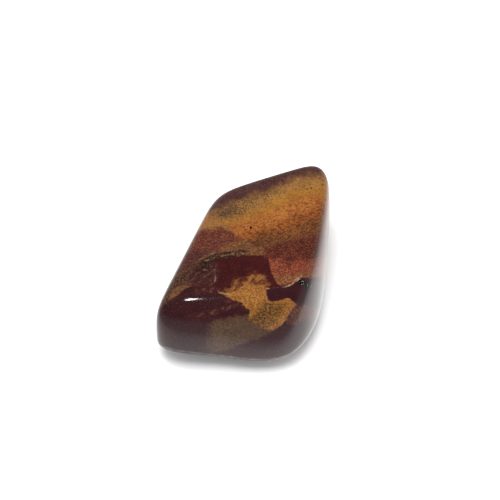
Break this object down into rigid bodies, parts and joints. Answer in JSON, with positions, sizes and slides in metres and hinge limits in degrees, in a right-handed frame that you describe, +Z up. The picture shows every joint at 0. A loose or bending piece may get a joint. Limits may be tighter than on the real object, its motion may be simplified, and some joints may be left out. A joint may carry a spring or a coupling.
{
  "type": "rainbow jasper stone",
  "caption": "Tumbled, polished piece of rainbow jasper with banded ochre, orange and maroon faces and worn edges, lying on a small flat of its underside.",
  "frame": {"origin": "on the surface that the stone lies on, under the middle of its box", "axes": "+X to the right across the short way of the stone, +Y away from the viewer along its long way, +Z up out of the broad top face"},
  "size_m": [0.023, 0.0264, 0.0115],
  "materials": {
    "jasper": "polished"
  },
  "bodies": {
    "root": {"stone": "jasper"}
  },
  "joints": []
}
